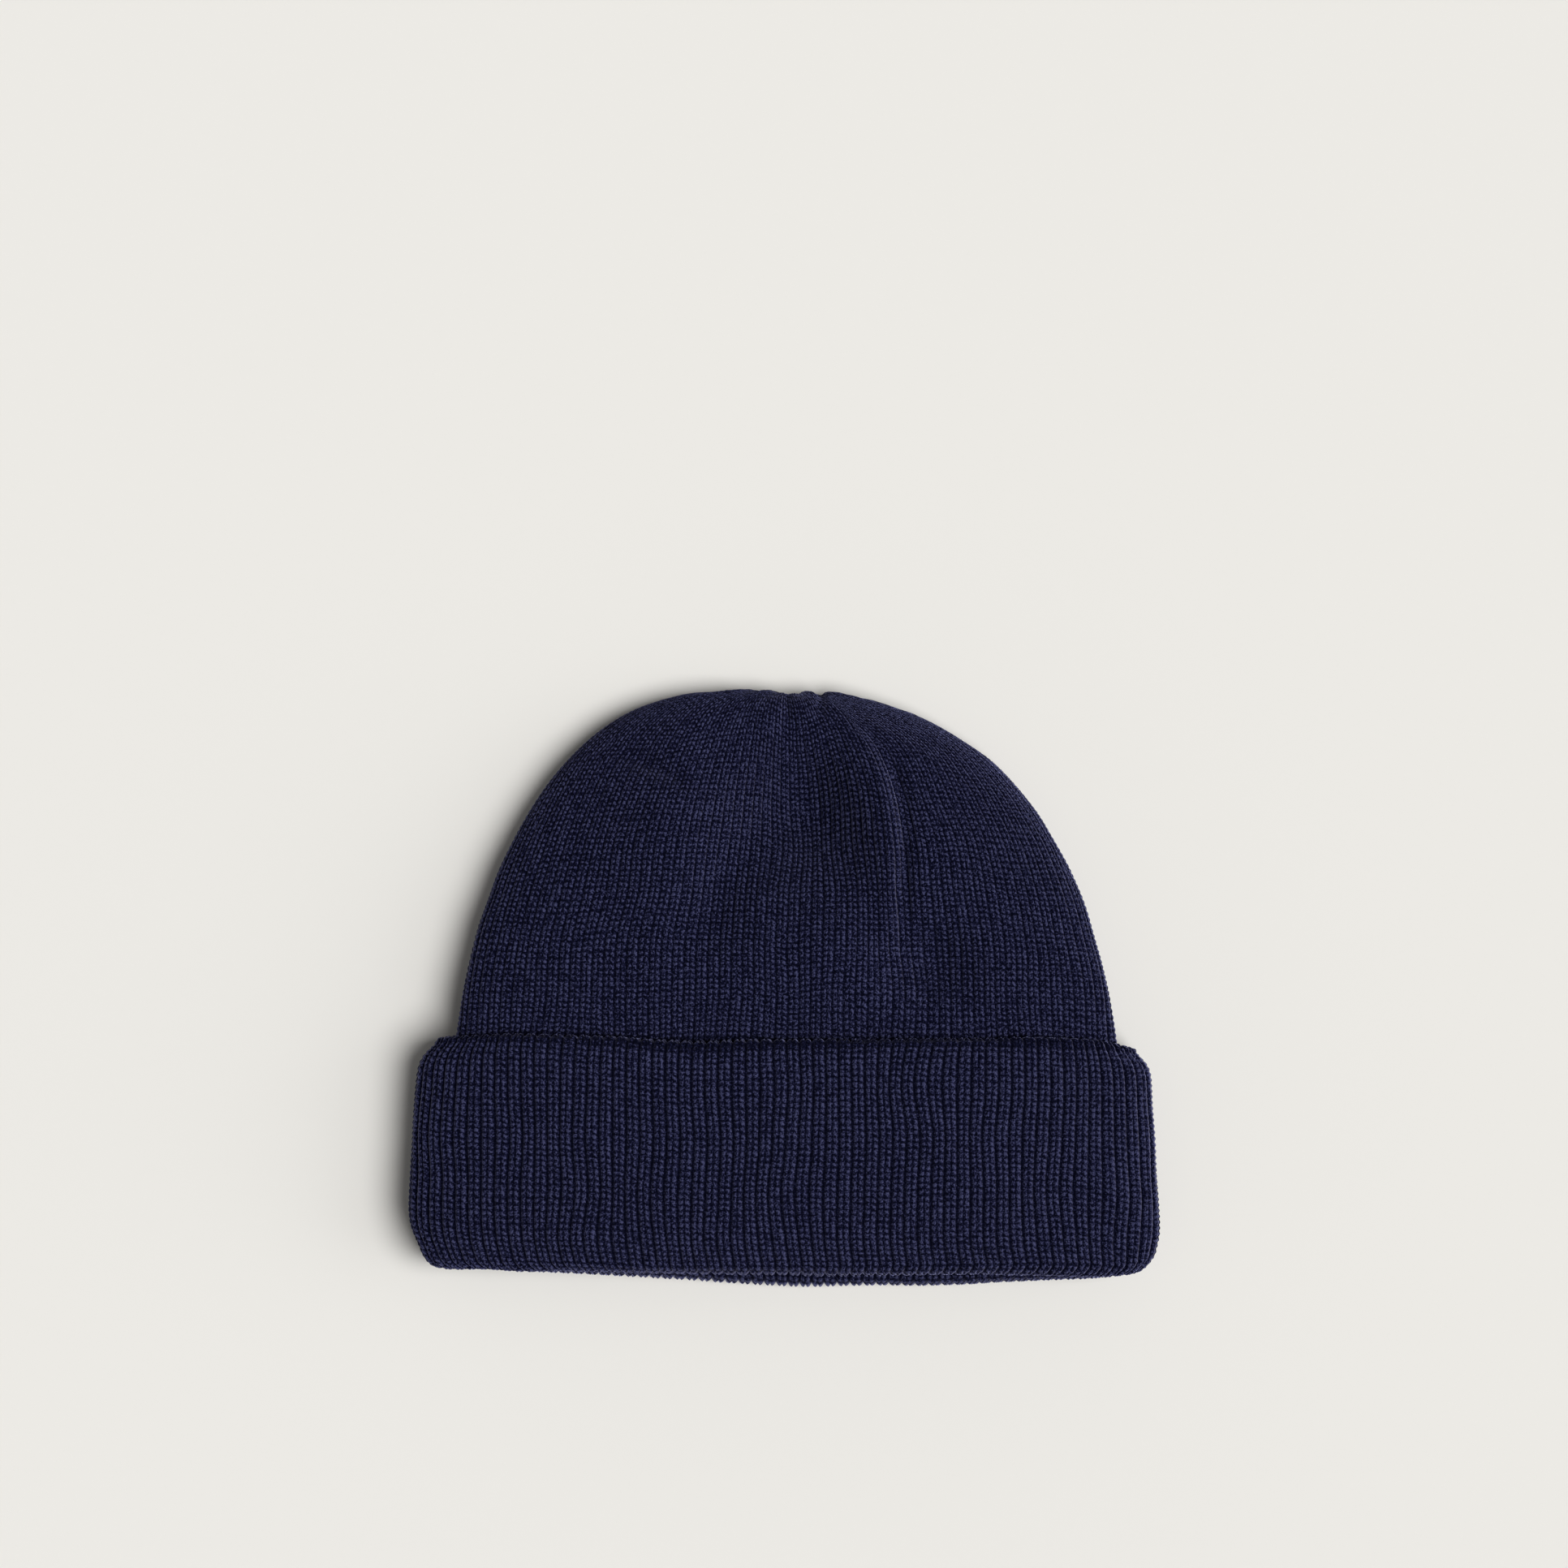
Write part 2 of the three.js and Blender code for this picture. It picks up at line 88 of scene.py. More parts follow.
# The cuff's free edge from left to right
FREE_EDGE = np.array([
    # x, y
    (-116, -18.9),
    (-106, -17.2),
    (-92, -15.8),
    (-55, -16.1),
    (-36, -17.3),
    (-8, -17.1),
    (60, -16.6),
    (94, -16.9),
    (106, -19.6),
    (116, -21.6),
])

# The folds of the cuff's front and back face at the mouth, from left to right
MOUTH_FOLDS = np.array([
    # x, front, back
    (-116, -81.0, -81.5),
    (-108, -85.1, -85.5),
    (-92, -86.2, -86.7),
    (-46, -87.0, -89.0),
    (0, -87.6, -91.5),
    (38, -87.8, -91.8),
    (80, -87.7, -90.4),
    (106, -87.7, -88.6),
    (116, -83.6, -84.1),
])
FRONT, BACK = 1, 2

# Soft hollows and swellings of the crown's front, with how far each reaches to its left, to its
# right and along its turned axis. A negative height is a hollow.
SOFT_FORMS = (
    # x, y, left, right, along, turn, height
    (8.5, 56, 23, 12.5, 22, 24, -13.5),
    (27, 55, 7, 7, 21, 10, 1.6),
    (-19, 30, 11, 9, 19, -20, -4.4),
    (46, 10, 14, 11, 15, 24, -6),
    (-35, 52, 14, 13, 18, -10, 2.6),
    (14, 14, 13, 13, 11, 0, 2.0),
    (-6, 81, 4.5, 4.5, 5, 0, 0.9),
    (-41, 69, 3.4, 3.2, 13, 67, -2.6),
)
FORMS_FACE = (0.1, 0.6)

# The dart: a narrow ridge that runs down from the gather, with a groove along its right side
DART_PATH = np.array([
    (8.5, 91.7), (11.5, 87.5), (18.6, 80.3), (23.8, 74.2), (29.4, 65.6),
    (31.8, 57.8), (32.8, 48.8), (32.8, 38.8), (31.6, 6),
])
DART_HEIGHT, DART_HALF_WIDTH = 0.9, 3.1
GROOVE_DEPTH, GROOVE_HALF_WIDTH, GROOVE_OFFSET = 2.1, 2.6, 4.6
DART_FADE_IN, DART_FADE_OUT = 44, 26

# Two creases where the gather's pleats cross the top edge
CREASES = (
    # x, half width, depth
    (1.4, 1.6, 1.3),
    (11.6, 1.6, 1.1),
)
CREASES_REACH = (78, 88)

# The knit: each rib is two columns of stitches. The second column's stitches stand a little
# higher in their course and lean, and the first one's bend.
COURSE, CUFF_COURSE = 1.74, 1.82
ROWS_A_COURSE = 4
FIRST_COURSE, CUFF_COURSES = 4, 60
SECOND_COLUMN_LAG, SECOND_COLUMN_SLANT = 0.10, 0.22
LOOP_BEND = 0.30
RIB_SQUARENESS = 0.6
MID_GROOVE_WIDTH = 0.08
# The distance between ribs at which they stand out in full, and how they sink where they crowd
FULL_PITCH = 3.3
CROWDED_LEAST, CROWDED_POWER = 0.05, 0.8

# The knit's unevenness: how many waves lie round the cap, and how many courses each one takes
WANDER_WAVES = (23, 9)
HAND_WAVES = ((39, 6), (16, 13))
DRIFT_WAVES = (17, 10)
NOISE_ROWS = 64

# The dart draws in ribs of the crown, from a share of the climb up to the gather
DART_RIB, DART_RIBS_EATEN, DART_EATS_FROM = 9.6, 9.0, 0.56
DART_SEAM_HALF_WIDTH = 0.9
SHORTEST_LOOP = 20
RIB_SAMPLES = 2400

# The rows of the crown's skin start inside the cuff and end at the small hole in the gather's
# middle. Up the front's middle, y only grows in the low samples of the climb.
CROWN_FROM_Y = -25.0
GATHER_HOLE = 0.9
CLIMB_SAMPLES = 3000
CLIMB_SAMPLES_LOW = 800

# The inside of the crown, which is plainer
INSIDE_SAMPLES = 3
INSIDE_TUBE_ROWS, INSIDE_DOME_ROWS = 24, 110
INSIDE_TOP = 0.985
INSIDE_LOOP, INSIDE_RELIEF, INSIDE_LEVEL = 0.1, 0.5, 0.2

# The cuff's rows: how far its skin runs in behind the free edge, how long its face is, and how
# many rows lie behind that edge and in the hem
INNER_SHARE, INNER_ROWS = 0.14, 8
FACE_LENGTH = 72
HEM_ROWS = 8

# The sheets that the outsides are made of. The further columns past each side of a sheet are
# for its slopes.
CROWN_SHEETS = (
    # name, first rib, last rib, samples a rib, depth of the groove between a rib's two columns
    ("crown_front_left", -30, 0, 8, 0.75),
    ("crown_front_right", 0, 30, 8, 0.75),
    ("crown_back", 30, 88, 4, 0.35),
)
CUFF_SHEETS = (
    # name, first rib, last rib, samples a rib
    ("cuff_front", -30, 30, 8),
    ("cuff_back", 30, 88, 6),
)
MARGIN = 2


def ease(value, low, high):
    t = np.clip((value - low) / (high - low), 0, 1)
    return t * t * (3 - 2 * t)


def read_table(rows, column, share):
    """A table's column at a share of its first column, on a smooth curve through the rows."""
    at, value = rows[:, 0], rows[:, column]
    count = len(at)
    before = np.maximum(np.arange(count) - 1, 0)
    after = np.minimum(np.arange(count) + 1, count - 1)
    slope = (value[after] - value[before]) / (at[after] - at[before])
    i = np.clip(np.searchsorted(at, share, side="right") - 1, 0, count - 2)
    span = at[i + 1] - at[i]
    t = (share - at[i]) / span
    t2, t3 = t * t, t * t * t
    return (
        value[i] * (2 * t3 - 3 * t2 + 1)
        + slope[i] * span * (t3 - 2 * t2 + t)
        + value[i + 1] * (3 * t2 - 2 * t3)
        + slope[i + 1] * span * (t3 - t2)
    )


def free_edge_y(x):
    return read_table(FREE_EDGE, 1, x)


def front_share_at(angle):
    return ease(np.sin(angle), -SIDE_BLEND, SIDE_BLEND)


def fold_line_y(x, front_share):
    front = read_table(MOUTH_FOLDS, FRONT, x)
    back = read_table(MOUTH_FOLDS, BACK, x)
    return back + (front - back) * front_share


def face_profile(reach, roundness):
    """The height of a face that is level in its middle and 0 at its rim, where reach is 1."""
    return np.maximum(0, 1 - np.minimum(1, reach) ** roundness) ** (1 / roundness)


def crown_face(x, y, reach, is_front, inset):
    straight = free_edge_y(x) - fold_line_y(x, 1) - FOLD / 2
    share = np.clip((free_edge_y(x) - y) / straight, 0, 1)
    lifted = FABRIC + GAP
    front = read_table(CUFF, HIGH, share) - lifted + BULGE * ease(y, BULGE_FROM, BULGE_TO) - inset
    from_tuck = (y - free_edge_y(x) - TUCK_OFFSET) / TUCK_HALF_WIDTH
    front = front - TUCK_DEPTH * np.exp(-(from_tuck**2))
    back = lifted * (1 - ease(y, *BACK_SETTLES)) + inset
    rim = RIM_IN_CUFF + (RIM_AT_TOP - RIM_IN_CUFF) * ease(y, RIM_FROM, RIM_TO)
    z_front = rim + (front - rim) * face_profile(reach, CROWN_ROUNDNESS["front"])
    z_back = rim + (back - rim) * face_profile(reach, CROWN_ROUNDNESS["back"])
    if inset == 0:
        z_back = np.maximum(0, z_back - PRESSED_FLAT)
    up = np.maximum(0, (y - BASE_Y) / RISE)
    lean = LEAN_FOOT + LEAN_TOP * up**LEAN_POWER
    return np.stack([x + lean, y, np.where(is_front, z_front, z_back)], -1)


def outline_swell(c, s):
    """How far the outline lies in a direction (c, s), where a plain ellipse would have 1."""
    swell = np.ones_like(c)
    for _ in range(SWELL_STEPS):
        across = (c * swell) ** OUTLINE_POWERS[0]
        along = (s * swell) ** OUTLINE_POWERS[1]
        slope = (OUTLINE_POWERS[0] * across + OUTLINE_POWERS[1] * along) / swell
        swell = swell - (across + along - 1) / slope
    return swell


def dome_point(angle, climb, inset):
    """A point of the dome: loops shrink round the gather, as circles do round a tilted pole."""
    radius = math.pi / 2 * (1 - climb)
    tilt, turn = GATHER_TILT * climb, GATHER_TURN * climb
    pole = np.stack(
        [np.sin(turn) * np.cos(tilt), np.cos(turn) * np.cos(tilt), -np.sin(tilt)], -1
    )
    right = np.stack([np.cos(turn), -np.sin(turn), 0 * turn], -1)
    up = np.cross(right, pole)
    direction = (
        pole * np.cos(radius)[..., None]
        + right * (np.sin(radius) * np.cos(angle))[..., None]
        + up * (np.sin(radius) * np.sin(angle))[..., None]
    )
    reach = np.minimum(1, np.hypot(direction[..., 0], direction[..., 1]))
    c = direction[..., 0] / np.maximum(reach, 1e-9)
    s = direction[..., 1] / np.maximum(reach, 1e-9)
    swell = outline_swell(np.abs(c), np.abs(s))
    x = direction[..., 0] * swell * (HALF_WIDTH - inset)
    y = BASE_Y + direction[..., 1] * swell * (RISE - inset)
    return crown_face(x, y, reach, direction[..., 2] >= 0, inset)


def tube_point(angle, share, inset):
    """A point of the crown's straight tube inside the cuff."""
    x = (HALF_WIDTH - inset) * np.cos(angle)
    foot = fold_line_y(x, front_share_at(angle)) + FOLD / 2 + HEM + GAP
    y = foot + (BASE_Y - foot) * share
    return crown_face(x, y, np.abs(np.cos(angle)), np.sin(angle) >= 0, inset)


def cuff_point(angle, share, depth, past_fold):
    """A point of the cuff: its section's outline, set in by a depth into the fabric's layers."""
    sideways = np.cos(angle)
    reach = np.abs(sideways)
    narrower = (CUFF_FACE_HALF - read_table(CUFF, WIDE, share)) * reach**END_POWER
    half_width = CUFF_FACE_HALF - narrower - depth - CORNER_SLOPE * np.maximum(past_fold, 0)
    top = read_table(CUFF, HIGH, share) - depth
    z_front = RIM_IN_CUFF + (top - RIM_IN_CUFF) * face_profile(reach, CUFF_ROUNDNESS["front"])
    z_back = RIM_IN_CUFF + (depth - RIM_IN_CUFF) * face_profile(reach, CUFF_ROUNDNESS["back"])
    z_back = np.where(depth > 0, z_back, np.maximum(0, z_back - PRESSED_FLAT))
    x = read_table(CUFF, SHIFT, share) + half_width * sideways
    straight_to = fold_line_y(x, front_share_at(angle)) + FOLD / 2
    y = free_edge_y(x) + (straight_to - free_edge_y(x)) * share - past_fold
    return np.stack([x, y, np.where(np.sin(angle) >= 0, z_front, z_back)], -1)


def dense_loops(point_at, rows):
    """Each row's loop of points from the front's middle round by the right, and its lengths."""
    angle = math.pi / 2 - 2 * math.pi * np.arange(LOOP_SAMPLES + 1) / LOOP_SAMPLES
    points = point_at(np.broadcast_to(angle, (rows, LOOP_SAMPLES + 1)))
    steps = np.linalg.norm(np.diff(points, axis=1), axis=2)
    lengths = np.concatenate([np.zeros((rows, 1)), np.cumsum(steps, axis=1)], axis=1)
    return points, lengths


def at_shares(points, lengths, shares):
    """The points of each row's loop at the given shares of its length."""
    out = np.empty(shares.shape + (3,))
    for i in range(len(points)):
        target = np.mod(shares[i], 1) * lengths[i, -1]
        for k in range(3):
            out[i, :, k] = np.interp(target, lengths[i], points[i, :, k])
    return out


def grid_normals(grid):
    normal = np.cross(np.gradient(grid, axis=1), np.gradient(grid, axis=0))
    return normal / np.maximum(np.linalg.norm(normal, axis=2, keepdims=True), 1e-12)


def lengths_up(grid):
    """How far each point of a grid lies along its column."""
    steps = np.linalg.norm(np.diff(grid, axis=0), axis=2)
    return np.concatenate([np.zeros((1, grid.shape[1])), np.cumsum(steps, axis=0)])


def form_height(x, y, form):
    form_x, form_y, left, right, length, turned, height = form
    turn = math.radians(turned)
    across = (x - form_x) * math.cos(turn) + (y - form_y) * math.sin(turn)
    along = (y - form_y) * math.cos(turn) - (x - form_x) * math.sin(turn)
    reach = np.where(across < 0, left, right)
    return height * np.exp(-((across / reach) ** 2) - (along / length) ** 2)


def dart_height(x, y):
    nearest = np.full_like(x, 1e9)
    side = np.ones_like(x)
    travelled_there = np.zeros_like(x)
    travelled = 0.0
    for start, end in zip(DART_PATH[:-1], DART_PATH[1:]):
        step = end - start
        length = math.hypot(*step)
        share = ((x - start[0]) * step[0] + (y - start[1]) * step[1]) / length**2
        share = np.clip(share, 0, 1)
        distance = np.hypot(x - start[0] - step[0] * share, y - start[1] - step[1] * share)
        closer = distance < nearest
        nearest = np.where(closer, distance, nearest)
        turned = np.sign(step[0] * (y - start[1]) - step[1] * (x - start[0]))
        side = np.where(closer, turned, side)
        travelled_there = np.where(closer, travelled + length * share, travelled_there)
        travelled += length
    fade_in = ease(travelled_there, 0, DART_FADE_IN)
    fade_out = ease(travelled - travelled_there, 0, DART_FADE_OUT)
    ridge = DART_HEIGHT * np.exp(-((nearest / DART_HALF_WIDTH) ** 2))
    from_groove = nearest * side - GROOVE_OFFSET
    groove = GROOVE_DEPTH * np.exp(-((from_groove / GROOVE_HALF_WIDTH) ** 2))
    return fade_in * fade_out * (ridge - groove)


def crown_relief(grid, normal, climb, around):
    x, y = grid[..., 0], grid[..., 1]
    relief = dart_height(x, y)
    for form in SOFT_FORMS:
        relief += form_height(x, y, form)
    relief *= ease(normal[..., 2], *FORMS_FACE)
    at_top = ease(y, *CREASES_REACH)
    for crease_x, half_width, depth in CREASES:
        relief -= at_top * depth * np.exp(-(((x - crease_x) / half_width) ** 2))
    near = ease(climb, PLEATS_FROM, PLEATS_FULL) * ease(1 - climb, 0, PLEATS_FADE)
    relief -= near * PLEAT_DEPTH * (0.5 - 0.5 * np.cos(2 * math.pi * PLEATS * around))
    return relief


def soft_noise(ribs, course, waves, courses, seed):
    """A smooth field in about -1 to 1: so many waves round the cap, and one in so many courses."""
    table = np.random.default_rng(seed).uniform(-1, 1, (waves, NOISE_ROWS))
    u, v = ribs * waves / RIBS, course / courses
    iu, iv = np.floor(u).astype(int), np.clip(np.floor(v).astype(int), 0, NOISE_ROWS - 2)
    fu, fv = u - np.floor(u), v - np.floor(v)
    fu, fv = fu * fu * (3 - 2 * fu), fv * fv * (3 - 2 * fv)
    low = table[iu % waves, iv] * (1 - fu) + table[(iu + 1) % waves, iv] * fu
    high = table[iu % waves, iv + 1] * (1 - fu) + table[(iu + 1) % waves, iv + 1] * fu
    return low * (1 - fv) + high * fv


def knit_relief(ribs, course, mid_groove, loop):
    """Height across a rib's two columns of stitches: 0 in the gutter and about 1 on the crests."""
    p = ribs - np.floor(ribs)
    body = np.abs(np.sin(math.pi * p)) ** RIB_SQUARENESS
    body = body * (1 - mid_groove * np.exp(-(((p - 0.5) / MID_GROOVE_WIDTH) ** 2)))
    x = 4 * np.mod(p, 0.5) - 1
    second = SECOND_COLUMN_LAG + SECOND_COLUMN_SLANT * x
    wave = np.cos(2 * math.pi * (course + np.where(p >= 0.5, second, -LOOP_BEND * x**2)))
    return body * (1 + loop * wave)


def knit_grid(grid, normal, ribs, course, look):
    """Moves a grid's points into the knitted relief, with ribs that wander a little."""
    samples = 1 / (ribs[0, 1] - ribs[0, 0])
    around = np.gradient(grid, axis=1) * samples
    pitch = np.linalg.norm(around, axis=2)
    swell = np.clip(pitch / FULL_PITCH, CROWDED_LEAST, 1.0) ** CROWDED_POWER
    wander = look["wander"] * soft_noise(ribs, course, *WANDER_WAVES, look["seed"])
    height = knit_relief(ribs, course, look["mid_groove"], look["loop"])
    hand = look["hand"] * soft_noise(ribs, course, *HAND_WAVES[0], look["seed"] + 1)
    hand += look["hand"] * soft_noise(ribs, course, *HAND_WAVES[1], look["seed"] + 2)
    out = look["relief"] * (height - look["level"]) * swell + hand
    moved = grid + around * wander[..., None] + normal * out[..., None]
    moved[..., 2] = np.maximum(moved[..., 2], 0)
    return moved


def drifting(ribs, course, look):
    """Courses that climb and sink a little from rib to rib."""
    return course + look["drift"] * soft_noise(ribs, course, *DRIFT_WAVES, look["seed"] + 3)


def add_mesh(name, grid, normal, uv, node, material, flip=False):
    """A sheet of quads over a grid of points, with ribs and courses as its UV map."""
    rows, cols = grid.shape[:2]
    index = np.arange(rows * cols).reshape(rows, cols)
    a, b = index[:-1, :-1].ravel(), index[:-1, 1:].ravel()
    c, d = index[1:, 1:].ravel(), index[1:, :-1].ravel()
    quads = np.stack([a, d, c, b] if flip else [a, b, c, d], -1)
    mesh = bpy.data.meshes.new(name)
    mesh.vertices.add(rows * cols)
    mesh.vertices.foreach_set("co", (grid * MM).reshape(-1))
    mesh.loops.add(quads.size)
    mesh.loops.foreach_set("vertex_index", quads.reshape(-1))
    mesh.polygons.add(len(quads))
    mesh.polygons.foreach_set("loop_start", np.arange(0, quads.size, 4))
    mesh.polygons.foreach_set("loop_total", np.full(len(quads), 4))
    mesh.polygons.foreach_set("use_smooth", np.ones(len(quads), bool))
    layer = mesh.uv_layers.new(name="knit")
    layer.data.foreach_set("uv", uv.reshape(-1, 2)[quads.reshape(-1)].reshape(-1))
    mesh.update(calc_edges=True)
    mesh.validate()
    mesh.normals_split_custom_set_from_vertices(normal.reshape(-1, 3))
    piece = bpy.data.objects.new(name, mesh)
    bpy.context.scene.collection.objects.link(piece)
    mesh.materials.append(material)
    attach(piece, "root")
    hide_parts(node)


class Shader:
    """Short ways to add shader nodes and link them."""

    def __init__(self, name):
        self.material = bpy.data.materials.new(name)
        self.material.use_nodes = True
        self.tree = self.material.node_tree
        self.principled = self.tree.nodes["Principled BSDF"]

    def add(self, kind, **settings):
        node = self.tree.nodes.new(kind)
        for key, value in settings.items():
            setattr(node, key, value)
        return node

    def feed(self, socket, value):
        if isinstance(value, bpy.types.NodeSocket):
            self.tree.links.new(value, socket)
        else:
            socket.default_value = value

    def math(self, operation, *values):
        node = self.add("ShaderNodeMath", operation=operation)
        for socket, value in zip(node.inputs, values):
            self.feed(socket, value)
        return node.outputs[0]

    def smooth(self, value, low, high):
        node = self.add("ShaderNodeMapRange", interpolation_type="SMOOTHSTEP")
        for socket, given in zip(node.inputs, (value, low, high, 0.0, 1.0)):
            self.feed(socket, given)
        return node.outputs[0]

    def noise(self, vector, scale, detail, roughness):
        node = self.add("ShaderNodeTexNoise")
        self.feed(node.inputs["Vector"], vector)
        node.inputs["Scale"].default_value = scale
        node.inputs["Detail"].default_value = detail
        node.inputs["Roughness"].default_value = roughness
        return node.outputs["Fac"]


def linear(channel):
    """The linear value of a colour channel given as 0 to 255."""
    share = channel / 255
    return share / 12.92 if share <= 0.04045 else ((share + 0.055) / 1.055) ** 2.4


# The yarn's colours, from the painted shade of its deep gutters to the bright tips of its fibres
# and the painted highlights of its loops, as 0 to 255
YARN_COLOURS = (
    # position, red, green, blue
    (0.00, 4, 6, 24),
    (0.25, 17, 19, 40),
    (0.50, 31, 32, 54),
    (0.75, 51, 52, 76),
    (1.00, 90, 91, 114),
)
YARN_GAINS = (0.445, 0.468, 0.650)
# Painted shade deep in the fold between the crown and the cuff: how much of the yarn's brightness
# is left there
FOLD_SHADE = 0.30
# Painted sheen: a lighter colour mixed into the yarn where the cap is seen edge on, standing for
# the glow of its lit loose fibres
FUZZ_SHEEN_COLOUR = (0.125, 0.119, 0.172, 1)
FUZZ_SHEEN_POWER = 3.0
FIBRE_SCALE, FIBRE_DETAIL, FIBRE_ROUGHNESS = 1900, 2.2, 0.65
BUMP_OF_LOOPS = 0.12


def knit_material(name, look):
    """Navy yarn: two columns of stitches a rib, with painted shade in its gutters and in the fold,
    painted highlights on its loops, painted sheen at its edges, and the sparkle of mixed fibres.
    """
    knit = Shader(name)
    coordinates = knit.add("ShaderNodeUVMap", uv_map="knit").outputs[0]
    split = knit.add("ShaderNodeSeparateXYZ")
    knit.feed(split.inputs[0], coordinates)
    rib, course = split.outputs[0], split.outputs[1]
    turn = knit.math("MULTIPLY", rib, math.pi)
    body = 1.0
    # Painted shade: the yarn's colour darkens in the gutter between ribs and in the groove between
    # a rib's two columns, on top of the relief's own shade.
    for curve, groove in (("SINE", "gutter"), ("COSINE", "middle")):
        off = knit.math("ABSOLUTE", knit.math(curve, turn))
        lit = knit.smooth(off, 0.0, look[f"{groove}_width"])
        dark = look[f"{groove}_dark"]
        body = knit.math("MULTIPLY", knit.math("MULTIPLY_ADD", lit, dark, 1 - dark), body)
    # Painted shade: the yarn darkens in the fold under the cuff's free edge, between the two
    # courses of each look's fold shade.
    open_air = knit.smooth(course, *look["fold_shade"])
    shade = knit.math("MULTIPLY_ADD", open_air, 1 - FOLD_SHADE, FOLD_SHADE)
    body = knit.math("MULTIPLY", body, shade)

    second = knit.math("GREATER_THAN", knit.math("FRACT", rib), 0.5)
    x = knit.math("MULTIPLY_ADD", knit.math("FRACT", knit.math("MULTIPLY", rib, 2)), 2, -1)
    bend_first = knit.math("MULTIPLY", knit.math("MULTIPLY", x, x), -LOOP_BEND)
    bend_second = knit.math("MULTIPLY_ADD", x, SECOND_COLUMN_SLANT, SECOND_COLUMN_LAG)
    difference = knit.math("SUBTRACT", bend_second, bend_first)
    phase = knit.math("ADD", course, knit.math("MULTIPLY_ADD", second, difference, bend_first))
    wave = knit.math("COSINE", knit.math("MULTIPLY", phase, 2 * math.pi))

    stitch = knit.add("ShaderNodeCombineXYZ")
    knit.feed(stitch.inputs[0], knit.math("FLOOR", knit.math("MULTIPLY", rib, 2)))
    knit.feed(stitch.inputs[1], knit.math("FLOOR", phase))
    chance = knit.add("ShaderNodeTexWhiteNoise", noise_dimensions="2D")
    knit.feed(chance.inputs["Vector"], stitch.outputs[0])

    place = knit.add("ShaderNodeTexCoord").outputs["Object"]
    fibres = knit.noise(place, FIBRE_SCALE, FIBRE_DETAIL, FIBRE_ROUGHNESS)
    # Painted highlight and shade: the yarn's colour is lighter on each loop's crest and darker
    # between courses, following the loops' wave.
    level = knit.math("MULTIPLY_ADD", wave, look["loop_shows"], look["column"])
    uneven = knit.math("MULTIPLY_ADD", chance.outputs["Value"], look["uneven"], -look["uneven"] / 2)
    level = knit.math("MULTIPLY", knit.math("ADD", level, uneven), body)
    level = knit.math("MULTIPLY_ADD", fibres, look["sparkle"], level)
    level = knit.math("SUBTRACT", level, look["sparkle"] / 2 - look["base"])

    ramp = knit.add("ShaderNodeValToRGB")
    stops = ramp.color_ramp.elements
    stops.remove(stops[1])
    for i, (position, *colour) in enumerate(YARN_COLOURS):
        stop = stops[0] if i == 0 else stops.new(position)
        stop.position = position
        stop.color = (*(gain * linear(channel) for gain, channel in zip(YARN_GAINS, colour)), 1)
    knit.feed(ramp.inputs["Fac"], level)
    # Painted sheen: the base colour turns lighter towards the edges, where the cap is seen edge on.
    edge = knit.add("ShaderNodeLayerWeight")
    edge.inputs["Blend"].default_value = 0.5
    fuzz_sheen = knit.add("ShaderNodeMix", data_type="RGBA")
    knit.feed(fuzz_sheen.inputs[0], knit.math("POWER", edge.outputs["Facing"], FUZZ_SHEEN_POWER))
    knit.feed(fuzz_sheen.inputs[6], ramp.outputs["Color"])
    fuzz_sheen.inputs[7].default_value = FUZZ_SHEEN_COLOUR
    knit.feed(knit.principled.inputs["Base Color"], fuzz_sheen.outputs[2])

    surface = knit.principled.inputs
    surface["Roughness"].default_value = 0.9
    surface["Specular IOR Level"].default_value = 0.04
    surface["Sheen Weight"].default_value = 1.0
    surface["Sheen Roughness"].default_value = 0.32
    surface["Sheen Tint"].default_value = (0.28, 0.305, 0.595, 1)
    bump = knit.add("ShaderNodeBump")
    bump.inputs["Strength"].default_value = 0.5
    bump.inputs["Distance"].default_value = 0.0003
    knit.feed(bump.inputs["Height"], knit.math("MULTIPLY_ADD", wave, BUMP_OF_LOOPS, fibres))
    knit.feed(surface["Normal"], bump.outputs["Normal"])
    return knit.material


# How each piece's knit looks. Relief and hand are heights, wander and drift are in ribs and
# courses, and a fold shade's two courses are where its painted shade is deepest and where it ends.
# The gutter and middle darkness is painted shade, and loop_shows sets the loops' painted highlights
# and shade.
CROWN_LOOK = {
    "relief": 0.85, "level": 0.70, "loop": 0.22,
    "wander": 0.22, "drift": 0.7, "hand": 0.24, "seed": 11,
    "gutter_width": 0.58, "gutter_dark": 1.00, "middle_width": 0.48, "middle_dark": 0.80,
    "column": 0.60, "loop_shows": 0.36, "uneven": 0.30, "sparkle": 4.5, "base": 0.02,
    "fold_shade": (7.0, 10.6),
}
CUFF_LOOK = {
    "relief": 1.35, "level": 0.78, "mid_groove": 0.60, "loop": 0.16,
    "wander": 0.26, "drift": 0.5, "hand": 0.28, "seed": 21,
    "gutter_width": 0.66, "gutter_dark": 1.00, "middle_width": 0.50, "middle_dark": 0.75,
    "column": 0.73, "loop_shows": 0.34, "uneven": 0.30, "sparkle": 4.3, "base": -0.04,
    "fold_shade": (52.6, 50.6),
}
crown_knit = knit_material("crown_knit", CROWN_LOOK)
cuff_knit = knit_material("cuff_knit", CUFF_LOOK)


